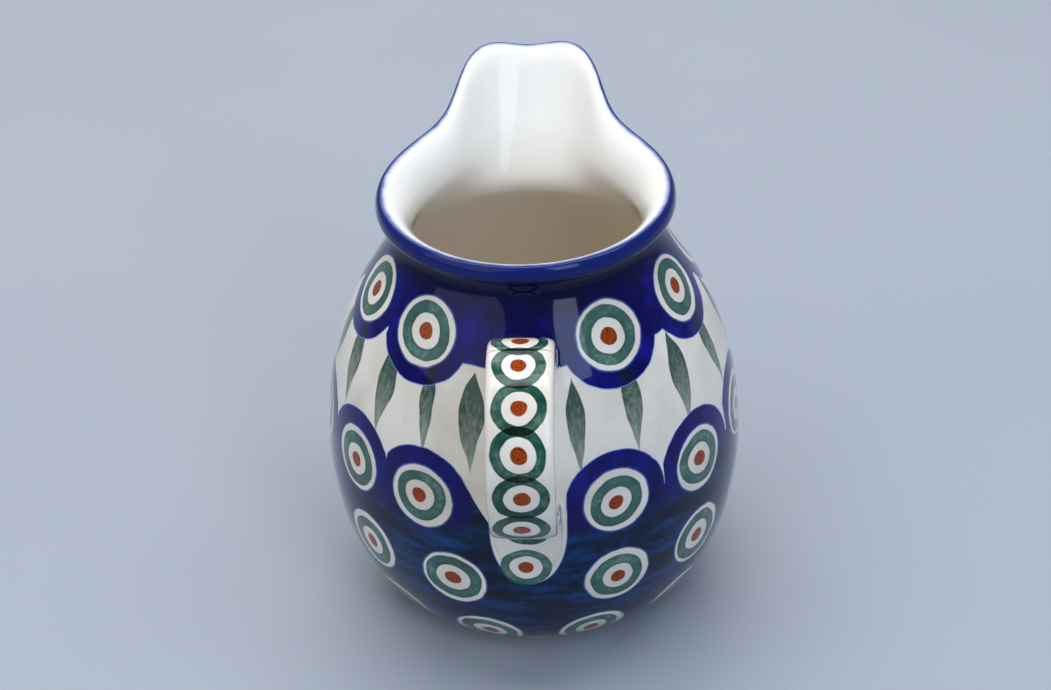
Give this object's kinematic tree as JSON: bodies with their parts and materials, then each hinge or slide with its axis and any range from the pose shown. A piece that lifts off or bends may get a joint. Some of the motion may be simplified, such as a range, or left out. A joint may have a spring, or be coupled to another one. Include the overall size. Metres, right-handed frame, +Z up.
{
  "type": "pouring jug",
  "caption": "Pear-shaped glazed stoneware pouring jug with a drawn-out spout, a strap handle and a hand-stamped ring pattern, standing on a foot ring.",
  "frame": {"origin": "on the ground, midway between the outermost point of the handle and the tip of the spout, and midway across the belly", "axes": "+Z up, +Y towards the spout, handle on the -Y side; the jug's own turning axis is at y = 12.8 mm"},
  "size_m": [0.1166, 0.1486, 0.1382],
  "materials": {
    "cobalt_glaze": "gloss",
    "cream_glaze": "gloss",
    "luting_slip": "gloss"
  },
  "bodies": {
    "root": {"body": "cobalt_glaze", "handle": "cream_glaze", "upper_joint_slip": "luting_slip", "lower_joint_slip": "luting_slip"}
  },
  "joints": []
}
